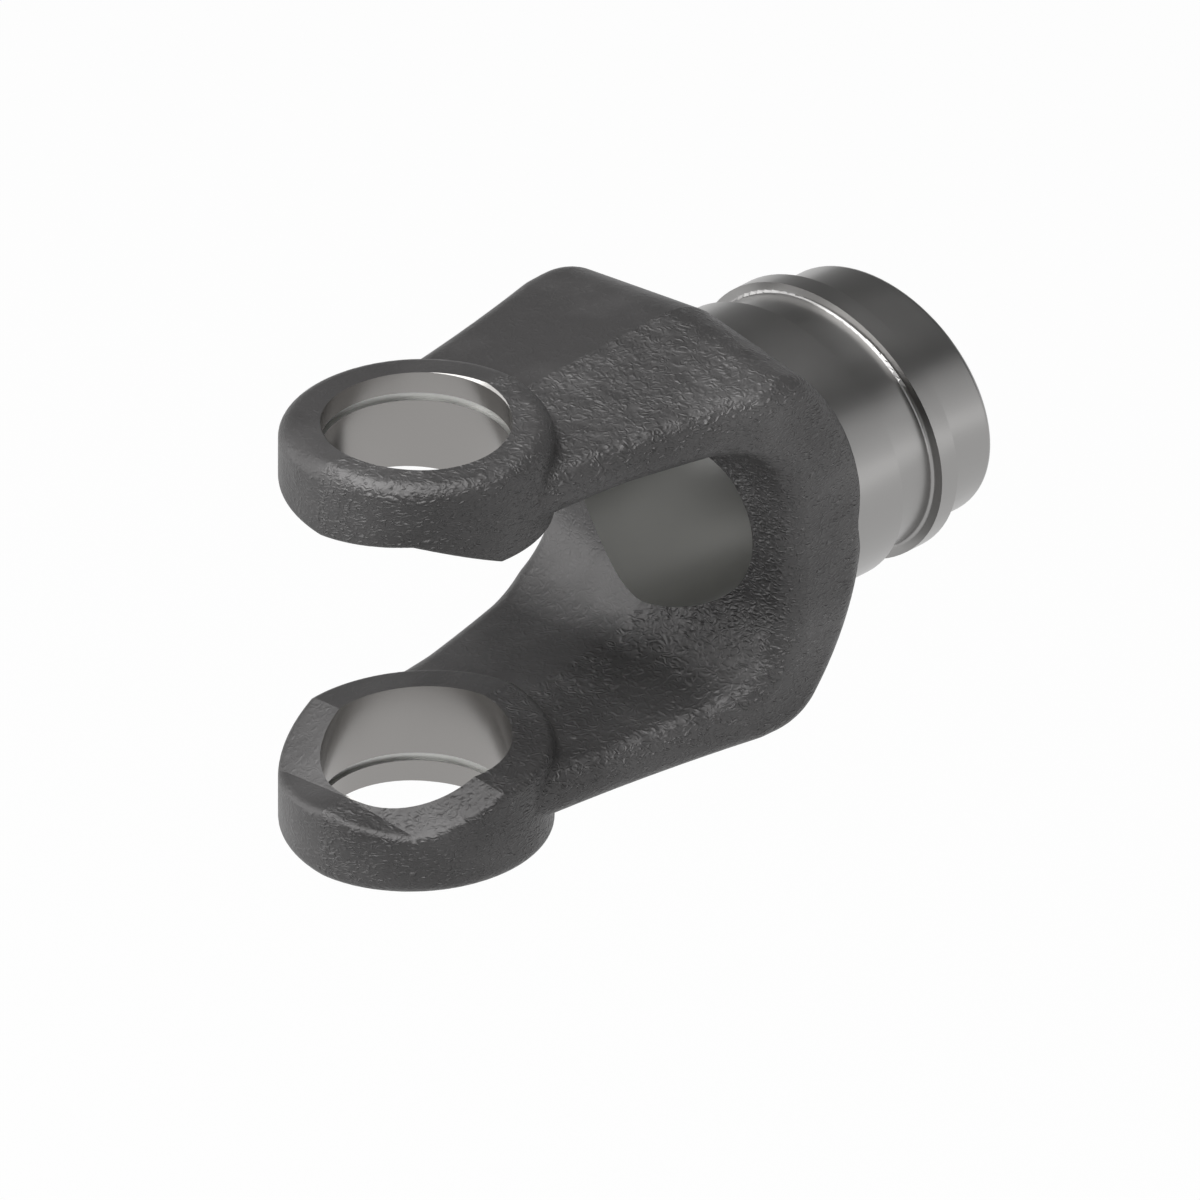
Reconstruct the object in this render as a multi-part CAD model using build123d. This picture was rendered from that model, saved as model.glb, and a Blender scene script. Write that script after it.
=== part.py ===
from build123d import *
import math
import os

os.makedirs("parts", exist_ok=True)

# Sizes in millimetres, angles in degrees.
# The origin is the joint centre, where the line through both ears crosses the hub line.
# X runs from the joint centre out through the hub and Z is the line of the two ear bores.

# ears: round bosses at the tips of the arms, with faces that slope off a middle ridge
ear_radius = 17.1
ear_span = 71.2
ear_gap = 36.0
ear_face_draft = 3.2
ear_outer_round = 2.6
ear_inner_round = 1.2
tip_ramp_start = -2.0
tip_ramp_angle = 29.0
tip_thinning = 5.6

# ear bores, each for a bearing cup that a snap ring holds in
pin_bore_diameter = 23.8
pin_bore_mouth_chamfer = 0.4
cross_width = 61.3
snap_ring_thickness = 1.0
snap_ring_play = 0.3
ring_groove_depth = 0.6

# arms, measured from the ears that they carry, and the bridge that joins them
draft_angle = 6.5
ear_stands_out = 4.7
ear_stands_in = 2.6
arm_outer_rise_angle = 1.7
arm_bend_past_ear = 2.4
arm_inner_angle = 5.5
throat_depth = 41.5
arm_inside_ear_wall = 0.9
arm_swell = 1.7
flare_before_back = 20.7
bridge_half_width = 21.5
back_reach = 60.5
back_arch_radius = 47.2

# rounds left by the forging dies
back_corner_radius = 11.0
throat_corner_radius = 10.5
inner_bend_round = 8.0
flare_end_round = 6.0
forged_edge_round = 3.6
ear_root_round = 1.2

# hub: a shoulder, a wide groove, a collar and a smaller end, bored right through
hub_diameter = 42.7
hub_shoulder = 63.7
groove_diameter = 39.5
groove_end = 70.5
collar_end = 73.2
hub_end_diameter = 38.4
hub_length_from_centre = 81.5
hub_bore_diameter = 30.9
hub_end_round = 0.8
groove_corner_round = 0.5
hub_bore_chamfer = 0.8

# how far cutting shapes run past the metal, and how near counts as touching
overrun = 1.0
near = 0.02


def slope(angle):
    return math.tan(math.radians(angle))


def flip(points):
    """The same line mirrored to the other side of the hub line, drawn backwards."""
    return [(x, -z) for x, z in reversed(points)]


def drafted_both_ways(sketch, depth, angle):
    """A shape that tapers to both sides of the plane where the two dies met."""
    half = extrude(sketch, amount=depth, taper=angle)
    return half + mirror(half, about=Plane.XZ)


def follows_wall(edge, axis_distance, radius):
    """Whether an edge runs round on a cylinder, and is not the straight seam of it."""
    spots = [edge.position_at(part) for part in (0.1, 0.4, 0.7, 0.9)]
    on_wall = all(abs(axis_distance(spot) - radius) < near for spot in spots)
    return on_wall and edge.geom_type != GeomType.LINE


def off_ear_axis(spot):
    return math.hypot(spot.X, spot.Y)


# Side outline of the fork: two arms, a bridge with an arched back, and the throat between.
arm_start = -ear_radius / 6
fork_end = back_reach + overrun
arm_inner_bend = ear_radius + arm_bend_past_ear
arm_half_width_at_ear = ear_radius - arm_inside_ear_wall
arm_half_width_midway = arm_half_width_at_ear + arm_swell
flare_end = back_reach - flare_before_back
arm_outer_at_centre = ear_span / 2 - ear_stands_out
arm_inner_half_gap = ear_gap / 2 + ear_stands_in


def outer_height(x):
    return arm_outer_at_centre + slope(arm_outer_rise_angle) * x


def inner_height(x):
    return arm_inner_half_gap - slope(arm_inner_angle) * (x - arm_inner_bend)


outer_line = [(arm_start, outer_height(arm_start)), (fork_end, outer_height(fork_end))]
throat_line = [
    (arm_start, arm_inner_half_gap),
    (arm_inner_bend, arm_inner_half_gap),
    (throat_depth, inner_height(throat_depth)),
]

with BuildSketch(Plane.XZ) as side:
    with BuildLine():
        Polyline(*outer_line, *flip(outer_line), close=True)
    make_face()
    with Locations((back_reach - back_arch_radius, 0)):
        Circle(back_arch_radius, mode=Mode.INTERSECT)
    with BuildLine():
        Polyline(*throat_line, *flip(throat_line), close=True)
    make_face(mode=Mode.SUBTRACT)
    fillet([v for v in side.vertices() if v.X > throat_depth + near], back_corner_radius)
    fillet([v for v in side.vertices() if abs(v.X - throat_depth) < near], throat_corner_radius)
    fillet([v for v in side.vertices() if abs(v.X - arm_inner_bend) < near], inner_bend_round)

drafted = drafted_both_ways(side.sketch, bridge_half_width + overrun, draft_angle)

# Plan outline: the arms leave the ears and flare to the width of the bridge.
with BuildSketch() as plan:
    with BuildLine():
        ThreePointArc(
            (arm_start, arm_half_width_at_ear),
            ((arm_start + flare_end) / 2, arm_half_width_midway),
            (flare_end, bridge_half_width),
        )
        Polyline(
            (flare_end, bridge_half_width),
            (fork_end, bridge_half_width),
            (fork_end, 0),
            (arm_start, 0),
            (arm_start, arm_half_width_at_ear),
        )
    make_face()
    mirror(about=Plane.XZ)
    fillet([v for v in plan.vertices() if abs(v.X - flare_end) < near], flare_end_round)

fork = drafted & extrude(plan.sketch, amount=ear_span, both=True)


# The long edges of the arms, the throat and the back are rounded all along.
def is_side_wall(face):
    """Side walls stand upright and look sideways."""
    outward = face.normal_at(face.center())
    return abs(outward.Y) > 0.9 and abs(outward.Z) < near


def is_long_edge(edge):
    """Every edge of a side wall but the short upright ones at the ends and the flare."""
    upright = abs(edge.tangent_at(0.5).Z) > 1 - near / 10
    return not upright or abs(edge.center().Z) < near


# The draft leaves the arm's side wall lower than its middle, and two rounds share that wall.
arm_height = outer_height(arm_start) - arm_inner_half_gap
side_wall_height = arm_height - 2 * arm_half_width_at_ear * slope(draft_angle)
widest_round = side_wall_height / 2 / slope((90 - draft_angle) / 2) - near
wall_edges = [edge for face in fork.faces() if is_side_wall(face) for edge in face.edges()]
long_edges = [edge for edge in wall_edges if is_long_edge(edge)]
fork = fillet(long_edges, min(forged_edge_round, widest_round))

# Ears: a round bar with sloped ends, parted by the gap. At the tips the gap widens by a ramp.
tip_height = ear_gap / 2 + tip_thinning
tip_ramp_end = tip_ramp_start - tip_thinning / slope(tip_ramp_angle)
ear_reach = ear_radius + overrun
gap_line = [
    (-2 * ear_reach, tip_height),
    (tip_ramp_end, tip_height),
    (tip_ramp_start, ear_gap / 2),
    (ear_reach, ear_gap / 2),
]

with BuildSketch(Plane.XZ) as ear_block:
    Rectangle(4 * ear_reach, ear_span)
with BuildSketch(Plane.XZ) as gap:
    with BuildLine():
        Polyline(*gap_line, *flip(gap_line), close=True)
    make_face()

ears = Rot(0, 0, 180) * Cylinder(ear_radius, ear_span + overrun)
ears &= drafted_both_ways(ear_block.sketch, ear_reach, ear_face_draft)
ears -= drafted_both_ways(gap.sketch, ear_reach, -draft_angle)

# The arms run into the ears with a small round at the root. The rims are rounded after it.
lowest_outer_rim = ear_span / 2 - ear_radius * slope(ear_face_draft) - near


def is_root(edge):
    """Where an arm meets its ear: clear of the ear's inner rim and below its outer one."""
    spot = edge.center()
    over_inner_rim = abs(spot.Z) - abs(spot.Y) * slope(draft_angle) - ear_gap / 2
    return spot.X > near and over_inner_rim > near and abs(spot.Z) < lowest_outer_rim


def ear_edges(solid):
    return [edge for edge in solid.edges() if follows_wall(edge, off_ear_axis, ear_radius)]


yoke = fork + ears
yoke = fillet([edge for edge in ear_edges(yoke) if is_root(edge)], ear_root_round)
outer_rims = [edge for edge in ear_edges(yoke) if abs(edge.center().Z) > lowest_outer_rim]
yoke = fillet(outer_rims, ear_outer_round)
highest_inner_rim = tip_height + ear_radius * slope(draft_angle) + near
low_edges = [edge for edge in ear_edges(yoke) if abs(edge.center().Z) < highest_inner_rim]
yoke = fillet([edge for edge in low_edges if not is_root(edge)], ear_inner_round)

# Hub, turned: shoulder, groove, collar and end.
hub_start = (throat_depth + back_reach) / 2
with BuildSketch(Plane.XZ) as hub:
    with BuildLine():
        Polyline(
            (hub_start, 0),
            (hub_start, hub_diameter / 2),
            (hub_shoulder, hub_diameter / 2),
            (hub_shoulder, groove_diameter / 2),
            (groove_end, groove_diameter / 2),
            (groove_end, hub_diameter / 2),
            (collar_end, hub_diameter / 2),
            (collar_end, hub_end_diameter / 2),
            (hub_length_from_centre, hub_end_diameter / 2),
            (hub_length_from_centre, 0),
            close=True,
        )
    make_face()
    feet = [v for v in hub.vertices() if abs(v.Y - groove_diameter / 2) < near]
    fillet(feet, groove_corner_round)
    end_rim = [v for v in hub.vertices() if v.X > collar_end + near and v.Y > near]
    fillet(end_rim, hub_end_round)
yoke += revolve(hub.sketch, axis=Axis.X, revolution_arc=360)

# Hub bore: from the hub's end right through into the throat.
bore_length = hub_length_from_centre - arm_inner_bend
bore = Rot(0, 90, 0) * Cylinder(hub_bore_diameter / 2, 2 * bore_length)
yoke -= Pos(hub_length_from_centre, 0, 0) * bore
end_edges = yoke.faces().sort_by(Axis.X)[-1].edges().sort_by(SortBy.LENGTH)
yoke = chamfer(end_edges[0], hub_bore_chamfer)

# Ear bores: one straight cut through both ears, opened at each mouth, with the ring grooves.
# The rings bear on the outer wall of their grooves and hold the cross between them.
pin_radius = pin_bore_diameter / 2
groove_width = snap_ring_thickness + snap_ring_play
groove_middle = cross_width / 2 + snap_ring_thickness - groove_width / 2
mouth_height = pin_bore_mouth_chamfer + overrun
mouth_middle = ear_span / 2 + (overrun - pin_bore_mouth_chamfer) / 2
pin_cut = Cylinder(pin_radius, ear_span + overrun)
ring_cut = Pos(0, 0, groove_middle) * Cylinder(pin_radius + ring_groove_depth, groove_width)
mouth_cut = Pos(0, 0, mouth_middle) * Cone(pin_radius, pin_radius + mouth_height, mouth_height)
yoke -= pin_cut + ring_cut + mouth_cut + mirror(ring_cut + mouth_cut, about=Plane.XY)

export_step(yoke, "parts/forged_yoke.step")
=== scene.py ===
# %% [markdown]
# # A forged universal joint yoke
# The part is one steel forging. Two dies squeezed it to shape, which left a grey, finely
# wrinkled skin and a low ridge along its middle. A lathe and a boring tool then cut the hub
# and the bores down to bright metal. The solid shape comes from the CAD frame, so the work
# here is in the finishes, the light and the view.

import math

import bmesh
import bpy
from mathutils import Matrix, Vector


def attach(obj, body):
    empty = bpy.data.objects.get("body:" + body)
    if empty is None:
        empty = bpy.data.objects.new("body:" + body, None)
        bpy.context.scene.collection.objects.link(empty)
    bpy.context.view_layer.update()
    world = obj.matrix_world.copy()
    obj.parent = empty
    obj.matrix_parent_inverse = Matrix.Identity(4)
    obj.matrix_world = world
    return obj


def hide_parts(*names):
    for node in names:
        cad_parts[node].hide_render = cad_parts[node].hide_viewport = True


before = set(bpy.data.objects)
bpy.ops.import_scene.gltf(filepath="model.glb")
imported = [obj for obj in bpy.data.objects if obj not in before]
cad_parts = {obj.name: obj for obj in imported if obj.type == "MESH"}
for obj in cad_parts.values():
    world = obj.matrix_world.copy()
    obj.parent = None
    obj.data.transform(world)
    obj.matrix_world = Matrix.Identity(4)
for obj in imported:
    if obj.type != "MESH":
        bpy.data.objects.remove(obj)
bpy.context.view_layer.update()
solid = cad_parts["forged_yoke"]
MM = 0.001
print("frame loaded:", len(solid.data.polygons), "triangles in the forging")

# %% [markdown]
# ## Sizes that the finishes need
# A tool leaves its own finish wherever it cuts, so each finish can be found by where the tool
# went. Reaches and radii are measured from the line of the ears or of the hub, and the rest
# along Z or X from the joint centre. The reach of the ear bores and the mouth of the hub bore
# take in the chamfers there, and the reach takes in the ring grooves too. A point counts as
# on a surface when it is within the touch.

# %% Sizes of the machined cuts
pin_bore_reach = 13.0 * MM
ear_inner_face = 17.0 * MM
ring_groove_low = 30.3 * MM
ring_groove_high = 31.7 * MM
ear_radius = 17.1 * MM
hub_radius = 21.35 * MM
hub_shoulder = 63.7 * MM
hub_bore_radius = 15.45 * MM
hub_bore_mouth = 80.6 * MM
chamfer_room = 1.0 * MM
bridge_start = 33.0 * MM
touch = 0.03 * MM
print("hub", 2 * hub_radius / MM, "mm across, its bore", 2 * hub_bore_radius / MM, "mm")

# %% [markdown]
# ## The visible piece
# The CAD mesh is loose triangles, one patch for each face of the solid. It could be shown as
# it is, but then a seam would show between patches. Welding a copy joins them, so light can
# roll over the forged rounds.

# %% Weld a copy of the forging
skin_mesh = solid.data.copy()
skin_mesh.name = "yoke_skin"
skin_mesh.materials.clear()
skin = bpy.data.objects.new("yoke_skin", skin_mesh)
bpy.context.scene.collection.objects.link(skin)

bm = bmesh.new()
bm.from_mesh(skin_mesh)
bmesh.ops.remove_doubles(bm, verts=bm.verts, dist=0.002 * MM)
bmesh.ops.dissolve_degenerate(bm, edges=bm.edges, dist=0.001 * MM)
print("welded:", len(bm.verts), "vertices,", len(bm.faces), "faces")

# %% [markdown]
# ## Which face has which finish
# There are four finishes: the forged skin, the ear bores, the turned hub, and the hub's bore,
# which the ring grooves in the ears share. That last steel is paler than the others, which is
# painted light: it stands in for light in the hub bore and is a painted highlight in the
# grooves. Each face could be picked by hand, but a rule by place picks the same ones on every
# run. What no tool touched keeps the forged skin.

# %% Tell forged skin from machined metal
# The fourth finish, for the hub bore and ring grooves, is a paler steel that paints light into
# them.
FORGED, BORED, TURNED, PAINTED_LIGHT_BORE = range(4)


def off_hub_axis(point):
    return math.hypot(point.y, point.z)


def off_ear_axis(point):
    return math.hypot(point.x, point.y)


def finish_of(face):
    """The finish of a face, from where its corners lie."""
    points = [vertex.co for vertex in face.verts]
    if all(off_ear_axis(p) < pin_bore_reach and abs(p.z) > ear_inner_face for p in points):
        # Ring grooves take the paler bore steel, a painted highlight in the slots.
        in_groove = all(ring_groove_low < abs(p.z) < ring_groove_high for p in points)
        return PAINTED_LIGHT_BORE if in_groove else BORED
    if all(abs(off_hub_axis(p) - hub_bore_radius) < touch and p.x > bridge_start for p in points):
        return PAINTED_LIGHT_BORE
    near_bore = all(off_hub_axis(p) < hub_bore_radius + chamfer_room for p in points)
    if near_bore and all(p.x > hub_bore_mouth for p in points):
        return PAINTED_LIGHT_BORE
    if all(p.x > hub_shoulder - touch for p in points):
        return TURNED
    on_hub = all(abs(off_hub_axis(p) - hub_radius) < touch for p in points)
    return TURNED if on_hub and min(p.x for p in points) > bridge_start else FORGED


counts = [0, 0, 0, 0]
for face in bm.faces:
    face.material_index = finish_of(face)
    face.smooth = True
    counts[face.material_index] += 1
print("faces: forged", counts[FORGED], "bored", counts[BORED], "turned", counts[TURNED])
print("faces in the hub bore and the ring grooves:", counts[PAINTED_LIGHT_BORE])

# %% [markdown]
# ## Sharp edges
# A cutting tool leaves a sharp edge and the dies left a low ridge where they met, but the
# rounds between them have no edge at all. So shading is split only where two finishes meet,
# along the ridge, and where the surface turns by more than 24 degrees. Weighted normals then
# keep the flat faces flat next to the rounds, with no need for more geometry.

# %% Mark the sharp edges
sharp_angle = math.radians(24)


def on_die_line(edge):
    """The ridge where the dies met, but not where it crosses the round wall of an ear."""
    points = [vertex.co for vertex in edge.verts]
    on_ear_wall = all(abs(off_ear_axis(p) - ear_radius) < touch for p in points)
    return all(abs(p.y) < touch / 10 for p in points) and not on_ear_wall


ridges = 0
for edge in bm.edges:
    finishes = {face.material_index for face in edge.link_faces}
    ridge = finishes == {FORGED} and on_die_line(edge)
    ridges += ridge
    edge.smooth = len(finishes) == 1 and not ridge and edge.calc_face_angle(0) < sharp_angle
print("edges on the die line:", ridges)
bm.to_mesh(skin_mesh)
bm.free()

weighted = skin.modifiers.new("weighted", "WEIGHTED_NORMAL")
weighted.weight = 100
weighted.keep_sharp = True
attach(skin, "root")
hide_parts("forged_yoke")

# %% [markdown]
# ## Helpers for materials
# Every finish is a small node tree. One function adds a node with its settings and links,
# and another turns sRGB colours, as a paint chart gives them, into the linear values that a
# shader uses. A third fills a colour ramp with such colours.


# %% Node and colour helpers
def linear(hex_colour):
    """An sRGB colour such as 5a5a58 as linear red, green, blue, alpha."""
    values = [int(hex_colour[i : i + 2], 16) / 255 for i in (0, 2, 4)]
    curve = [v / 12.92 if v <= 0.04045 else ((v + 0.055) / 1.055) ** 2.4 for v in values]
    return (*curve, 1.0)


def add(tree, kind, settings=None, **inputs):
    """Adds a node. Inputs are values or sockets, by socket name, or by number as i0, i1, i2."""
    node = tree.nodes.new(kind)
    for name, value in (settings or {}).items():
        setattr(node, name, value)
    for name, value in inputs.items():
        key = int(name[1:]) if name[0] == "i" and name[1:].isdigit() else name.replace("_", " ")
        if isinstance(value, bpy.types.NodeSocket):
            tree.links.new(value, node.inputs[key])
        else:
            node.inputs[key].default_value = value
    return node


def set_stops(elements, stops):
    """Fills a colour ramp's elements from (place, hex colour) stops."""
    for place, colour in stops[1:-1]:
        elements.new(place).color = linear(colour)
    elements[0].position, elements[0].color = stops[0][0], linear(stops[0][1])
    elements[-1].position, elements[-1].color = stops[-1][0], linear(stops[-1][1])


def new_material(name):
    material = bpy.data.materials.new(name)
    material.use_nodes = True
    material.node_tree.nodes.clear()
    return material, material.node_tree


print("a mid grey, 808080, is linear", round(linear("808080")[0], 3))

# %% [markdown]
# ## Forged steel skin: the pattern
# Hot steel that met the dies grows a thin oxide scale, and its surface is wrinkled like fine
# leather, with cells about half a millimetre across, wider than they are high, over softer
# dents a few millimetres wide. An image would need unwrapping and would show its seams, so
# noise in the yoke's own coordinates draws both. A slower noise bends the rows of wrinkles.
# Ridged noise draws more than one ridge in each of its cells, so the cells are set 1.3 times
# as wide as a wrinkle. All sizes here are in millimetres.

# %% Pattern of the forged skin
wrinkle_size = 0.55
cell_widening = 1.3
wrinkle_stretch = (0.85, 0.85, 1.35)
bends_per_mm = 0.35
bend_reach = 1.6
dent_size = 3.5
patches_per_mm = 0.045
per_mm = 1 / MM

forged, tree = new_material("forged_scale_grey")
place = add(tree, "ShaderNodeTexCoord").outputs["Object"]
in_mm = add(tree, "ShaderNodeMapping", Vector=place, Scale=[per_mm] * 3).outputs["Vector"]
stretched = add(
    tree, "ShaderNodeMapping", Vector=place, Scale=[per_mm * part for part in wrinkle_stretch]
).outputs["Vector"]
bends = add(tree, "ShaderNodeTexNoise", Vector=in_mm, Scale=bends_per_mm, Detail=2.0)
bent = add(
    tree, "ShaderNodeVectorMath", {"operation": "MULTIPLY_ADD"},
    i0=bends.outputs["Color"], i1=[bend_reach] * 3, i2=stretched,
).outputs["Vector"]
wrinkles = add(
    tree, "ShaderNodeTexNoise", {"noise_type": "RIDGED_MULTIFRACTAL"}, Vector=bent,
    Scale=1 / (cell_widening * wrinkle_size), Detail=3.0, Roughness=0.6, Distortion=0.5,
).outputs["Fac"]
dents = add(
    tree, "ShaderNodeTexNoise", Vector=in_mm, Scale=1 / dent_size, Detail=2.0
).outputs["Fac"]
patches = add(
    tree, "ShaderNodeTexNoise", Vector=in_mm, Scale=patches_per_mm, Detail=3.0
).outputs["Fac"]
print("forged skin: wrinkles", wrinkle_size, "mm, dents", dent_size, "mm")

# %% [markdown]
# ## Forged steel skin: where it is deep
# The near half, at -Y, is drawn with deeper wrinkles than the far one, and upright walls with
# deeper ones than level faces. This stands in for how the light falls on them, and the same
# masks make the painted highlight on the wrinkles stronger there, so it is partly painted light.
# Two patterns could be blended, but one pattern with its depth turned down is simpler. One mask
# changes over at the ridge, at Y = 0, and the other follows how level the face is.

# %% Depth of the forged skin
far_half_wrinkles = 0.35
level_wrinkles = 0.42
ridge_half_width = 0.3
upright_until = 0.2
level_from = 0.95

across = add(tree, "ShaderNodeSeparateXYZ", Vector=in_mm).outputs["Y"]
# Painted light: the near half gets deeper and paler wrinkles than the far half.
near_half = add(
    tree, "ShaderNodeMapRange", Value=across, From_Min=-ridge_half_width,
    From_Max=ridge_half_width, To_Min=1.0, To_Max=far_half_wrinkles,
).outputs["Result"]
facing = add(tree, "ShaderNodeNewGeometry").outputs["True Normal"]
rise = add(tree, "ShaderNodeSeparateXYZ", Vector=facing).outputs["Z"]
level = add(tree, "ShaderNodeMath", {"operation": "ABSOLUTE"}, i0=rise).outputs["Value"]
wall = add(
    tree, "ShaderNodeMapRange", Value=level, From_Min=upright_until, From_Max=level_from,
    To_Min=1.0, To_Max=level_wrinkles,
).outputs["Result"]
# Sets the depth of the wrinkles and the strength of their painted highlight.
depth_and_highlight = add(
    tree, "ShaderNodeMath", {"operation": "MULTIPLY"}, i0=near_half, i1=wall
).outputs["Value"]
print("wrinkles on the far die's side:", far_half_wrinkles, "of the near side's depth")

# %% [markdown]
# ## Forged steel skin: colour and shine
# A wash leaves the scale an even dark grey with a dull shine. It is an oxide over steel, so it
# could be shaded as a metal or as none. A nearly full metal glints on every wrinkle, so it is
# only a little over half metal, and rough. The wrinkles are drawn paler than the ground between
# them, which is a painted highlight on their ridges, strongest where they are deepest. Ridged
# noise stays mostly below 0.2, so a bump distance of 0.62 mm makes wrinkles of about a tenth of
# a millimetre.

# %% Colour and shine of the forged skin
# Painted highlight: how much paler the wrinkle ridges are drawn.
wrinkle_highlight_paint = 0.5
dent_depth = 0.4 * MM
wrinkle_depth = 0.62 * MM

# Painted highlight on the wrinkle ridges, scaled by the depth masks and added to the random
# patches.
painted_wrinkle_highlight = add(
    tree, "ShaderNodeMath", {"operation": "MULTIPLY"}, i0=wrinkles, i1=depth_and_highlight
).outputs["Value"]
tone_and_highlight = add(
    tree, "ShaderNodeMath", {"operation": "MULTIPLY_ADD"},
    i0=painted_wrinkle_highlight, i1=wrinkle_highlight_paint, i2=patches,
).outputs["Value"]
greys = add(tree, "ShaderNodeValToRGB", Fac=tone_and_highlight)
set_stops(greys.color_ramp.elements, [(0.42, "3f3e3e"), (0.6, "4c4b4b"), (0.85, "5d5c5c")])
soft = add(
    tree, "ShaderNodeBump", Height=dents, Strength=near_half, Distance=dent_depth
).outputs["Normal"]
fine = add(
    tree, "ShaderNodeBump", Height=wrinkles, Strength=depth_and_highlight, Distance=wrinkle_depth, Normal=soft
).outputs["Normal"]
shader = add(
    tree, "ShaderNodeBsdfPrincipled", Base_Color=greys.outputs["Color"], Metallic=0.55,
    Roughness=0.46, Normal=fine,
)
add(tree, "ShaderNodeOutputMaterial", Surface=shader.outputs["BSDF"])
print("forged skin:", len(tree.nodes), "nodes")

# %% [markdown]
# ## Machined steel
# A cutting tool leaves bare steel with very fine grooves round the axis, so the metal looks
# satin. Bare steel is a full metal, with a neutral grey and a low roughness. The grooves could
# be left to an anisotropic shader, but noise drawn long across the axis and short along it
# also gives the uneven pitch of a real cut. The tool marks are drawn coarser than real ones,
# so that they show.

# %% Machined finishes
tool_mark_pitch = 0.35
tool_mark_length = 20.0
tool_mark_depth = 0.012 * MM
tool_mark_strength = 0.12
clouds_per_mm = 0.12
shinier = 0.03
duller = 0.04


def machined(name, colour, roughness, tool_axis):
    """Turned or bored steel, with tool marks that repeat along the tool's axis."""
    material, tree = new_material(name)
    place = add(tree, "ShaderNodeTexCoord").outputs["Object"]
    in_mm = add(tree, "ShaderNodeMapping", Vector=place, Scale=[per_mm] * 3).outputs["Vector"]
    stretch = [1 / tool_mark_length] * 3
    stretch["XYZ".index(tool_axis)] = 1 / tool_mark_pitch
    lanes = add(tree, "ShaderNodeMapping", Vector=in_mm, Scale=stretch).outputs["Vector"]
    marks = add(tree, "ShaderNodeTexNoise", Vector=lanes, Scale=1.0, Detail=3.0)
    clouds = add(tree, "ShaderNodeTexNoise", Vector=in_mm, Scale=clouds_per_mm, Detail=2.0)
    gloss = add(
        tree, "ShaderNodeMapRange", Value=clouds.outputs["Fac"],
        To_Min=roughness - shinier, To_Max=roughness + duller,
    )
    bump = add(
        tree, "ShaderNodeBump", Height=marks.outputs["Fac"], Strength=tool_mark_strength,
        Distance=tool_mark_depth,
    )
    shader = add(
        tree, "ShaderNodeBsdfPrincipled", Base_Color=linear(colour), Metallic=1.0,
        Roughness=gloss.outputs["Result"], Normal=bump.outputs["Normal"],
    )
    add(tree, "ShaderNodeOutputMaterial", Surface=shader.outputs["BSDF"])
    return material


bored = machined("bored_steel", "93918f", 0.24, "Z")
turned = machined("turned_steel", "959493", 0.29, "X")
# The hub bore and ring grooves get a paler steel, painted light in those hollows.
painted_light_bore_steel = machined("hub_bore_steel_painted_light", "b8b8b6", 0.36, "X")
for material in (forged, bored, turned, painted_light_bore_steel):
    skin_mesh.materials.append(material)
print("finishes:", [material.name for material in skin_mesh.materials])

# %% [markdown]
# ## Floor
# The photograph has a plain white ground and no shadow under the part. Strong light on a
# white floor would give that, but it would light the forging too. So the floor is matt paper
# far below the yoke, and to the camera and to reflections it is nearly all a plain glow of
# strength 1, which is white. The soft light that it throws back comes from the paper alone.
# The small share of paper that the camera sees keeps a trace of the yoke's shadow.

# %% White floor
floor_depth = 0.30
floor_reach = 6.0
glow_share = 0.95

bm = bmesh.new()
bmesh.ops.create_grid(bm, x_segments=1, y_segments=1, size=floor_reach)
bmesh.ops.translate(bm, verts=bm.verts, vec=(0, 0, -floor_depth))
floor_mesh = bpy.data.meshes.new("floor")
bm.to_mesh(floor_mesh)
bm.free()
floor = bpy.data.objects.new("floor", floor_mesh)
bpy.context.scene.collection.objects.link(floor)

white, tree = new_material("white_floor")
paper = add(tree, "ShaderNodeBsdfDiffuse", Color=linear("cacaca"))
glow = add(tree, "ShaderNodeEmission", Color=linear("ffffff"), Strength=1.0)
path = add(tree, "ShaderNodeLightPath")
seen = path.outputs["Is Camera Ray"]
for ray in ("Is Glossy Ray", "Is Transmission Ray"):
    seen = add(
        tree, "ShaderNodeMath", {"operation": "MAXIMUM"}, i0=seen, i1=path.outputs[ray]
    ).outputs["Value"]
share = add(
    tree, "ShaderNodeMath", {"operation": "MULTIPLY"}, i0=seen, i1=glow_share
).outputs["Value"]
mix = add(
    tree, "ShaderNodeMixShader", i0=share, i1=paper.outputs["BSDF"], i2=glow.outputs["Emission"]
)
add(tree, "ShaderNodeOutputMaterial", Surface=mix.outputs["Shader"])
floor_mesh.materials.append(white)
print("floor:", floor_depth, "m below the joint centre")

# %% [markdown]
# ## Surroundings
# Bright metal shows whatever is round it, so the world matters as much as the lamps. A studio
# is pale near the floor and darker overhead, which a ramp over height gives, and the room
# behind the camera is dark. That dark part stays where it is when the view changes, as a real
# room does. It keeps the walls that face the photograph's corner dark.

# %% Studio surroundings
dark_heading = (-0.65, -0.65, 0.39)
dark_edge = 0.6
dark_middle = 0.88
room_strength = 0.62
dark_strength = 0.04

world = bpy.data.worlds.new("studio")
bpy.context.scene.world = world
world.use_nodes = True
tree = world.node_tree
tree.nodes.clear()
heading = add(tree, "ShaderNodeTexCoord").outputs["Generated"]
height = add(tree, "ShaderNodeSeparateXYZ", Vector=heading).outputs["Z"]
lift = add(tree, "ShaderNodeMapRange", Value=height, From_Min=-0.2, From_Max=0.9)
sky = add(tree, "ShaderNodeValToRGB", Fac=lift.outputs["Result"])
set_stops(
    sky.color_ramp.elements,
    [(0.0, "ffffff"), (0.35, "b4b4b4"), (0.75, "5c5c5c"), (1.0, "505050")],
)
nearness = add(
    tree, "ShaderNodeVectorMath", {"operation": "DOT_PRODUCT"}, i0=heading, i1=dark_heading
).outputs["Value"]
strength = add(
    tree, "ShaderNodeMapRange", {"interpolation_type": "SMOOTHSTEP"}, Value=nearness,
    From_Min=dark_edge, From_Max=dark_middle, To_Min=room_strength, To_Max=dark_strength,
).outputs["Result"]
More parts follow.
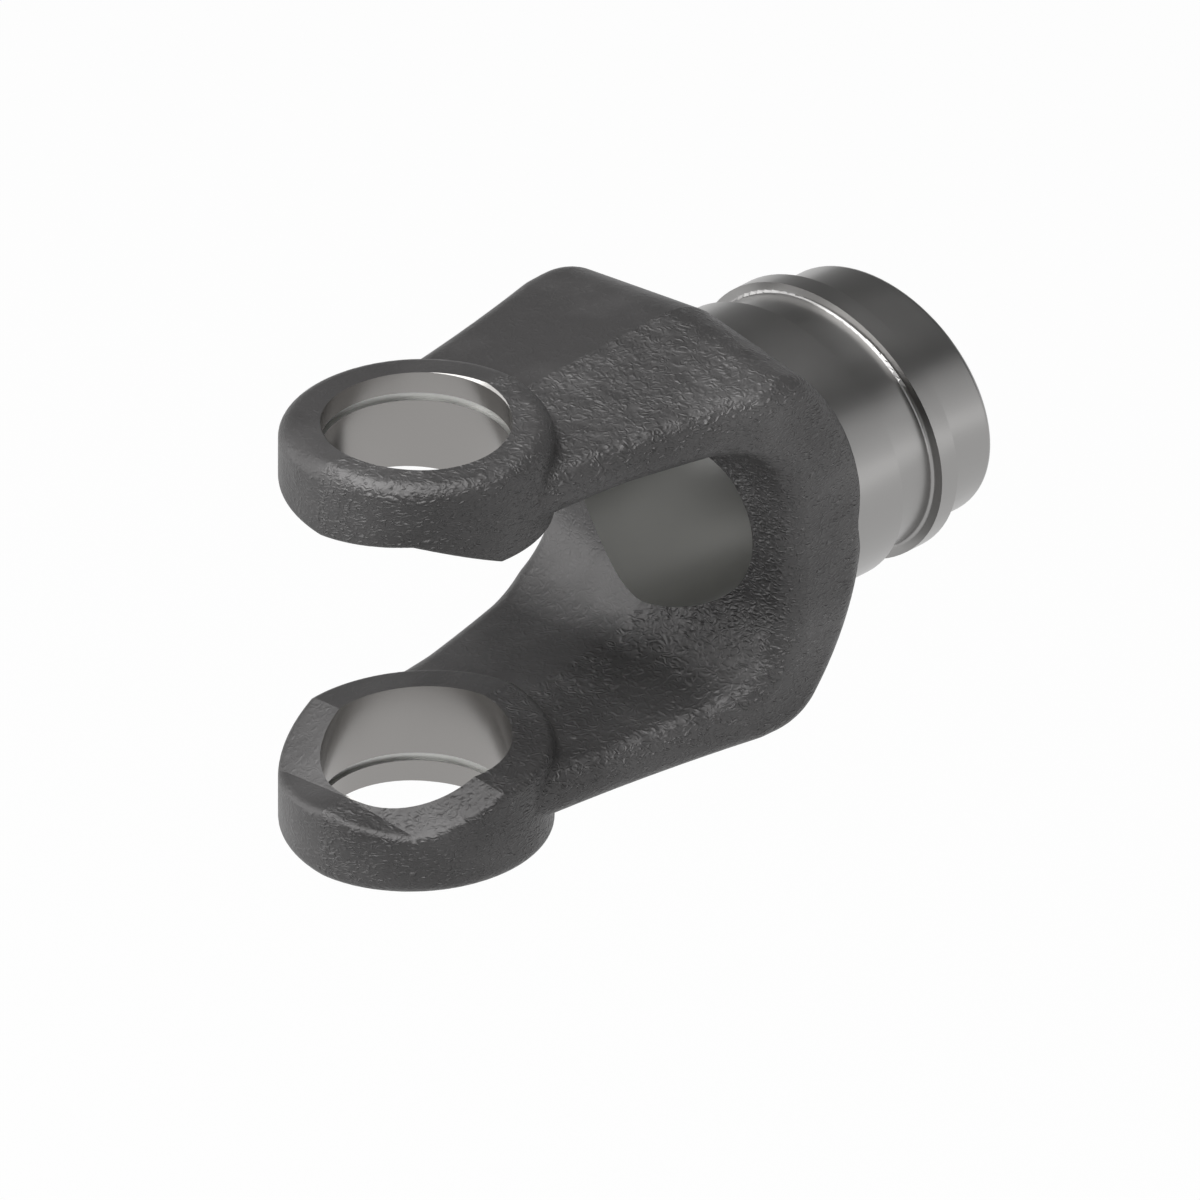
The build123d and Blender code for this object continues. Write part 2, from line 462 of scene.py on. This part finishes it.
background = add(
    tree, "ShaderNodeBackground", Color=sky.outputs["Color"], Strength=strength
)
add(tree, "ShaderNodeOutputWorld", Surface=background.outputs["Background"])
print("surroundings: strength", room_strength, "and", dark_strength, "behind the camera")

# %% [markdown]
# ## Lamps
# Round ears and a round hub need long soft highlights, so the lamps are large soft boxes and
# not points. One stands low on each side of the yoke, the left one stronger, and the strongest
# hangs overhead for the upper faces. The side that faces the camera between them stays the
# darkest, as in the photograph. Distances and sizes are in metres and powers in watts.

# %% Lamps
look_at = Vector((30 * MM, 0, 0))


def soft_box(name, azimuth, elevation, distance, size, power):
    """A square lamp. Azimuth 0 stands towards -X and 90 towards -Y, as seen from above."""
    a, e = math.radians(azimuth), math.radians(elevation)
    away = Vector((-math.cos(a) * math.cos(e), -math.sin(a) * math.cos(e), math.sin(e)))
    data = bpy.data.lights.new(name, "AREA")
    data.shape = "SQUARE"
    data.size = size
    data.energy = power
    lamp = bpy.data.objects.new(name, data)
    lamp.location = look_at + away * distance
    lamp.rotation_euler = (-away).to_track_quat("-Z", "Y").to_euler()
    bpy.context.scene.collection.objects.link(lamp)


soft_box("left_box", azimuth=-50, elevation=14, distance=1.2, size=1.3, power=10.5)
soft_box("right_box", azimuth=101, elevation=9, distance=1.2, size=1.3, power=4.6)
soft_box("top_box", azimuth=0, elevation=76, distance=0.9, size=1.2, power=22.0)

# %% [markdown]
# ## Camera
# The picture is a parallel projection from a corner direction: 45 degrees round and 35.26
# degrees up. Its height is squeezed to 0.88 of its width, as a picture that was fitted to a
# frame. Such a squeeze can't come from turning a camera, so the camera is parented to an
# empty with a slanted parent matrix, which shrinks the height and keeps everything else. The
# middle of the picture lies to the right of the joint centre and a little above it.

# %% Camera
squeeze = 0.8785
pixel = 0.1235 * MM
picture_width = 1200 * pixel
elevation = math.radians(35.264)
middle_right = 183.66 * pixel
middle_up = 25.3 * pixel
stand_back = 0.5

side = math.sqrt(0.5)
across = Vector((side, -side, 0))
forward = Vector((math.cos(elevation) * side, math.cos(elevation) * side, -math.sin(elevation)))
upward = across.cross(forward)
slanted = squeeze * across + math.sqrt(1 - squeeze**2) * forward
at = across * middle_right + upward * (middle_up / squeeze) - forward * stand_back

camera_data = bpy.data.cameras.new("camera")
camera_data.type = "ORTHO"
camera_data.ortho_scale = picture_width / squeeze
camera_data.clip_start, camera_data.clip_end = 0.01, 10
camera = bpy.data.objects.new("camera", camera_data)
stand = bpy.data.objects.new("camera_stand", None)
for thing in (camera, stand):
    bpy.context.scene.collection.objects.link(thing)
camera.parent = stand
camera.matrix_parent_inverse = Matrix((
    (slanted.x, upward.x, -forward.x, at.x),
    (slanted.y, upward.y, -forward.y, at.y),
    (slanted.z, upward.z, -forward.z, at.z),
    (0, 0, 0, 1),
))
bpy.context.scene.camera = camera
bpy.context.scene.view_settings.view_transform = "Standard"
print("camera: parallel, frame", round(camera_data.ortho_scale / MM, 1), "mm wide")
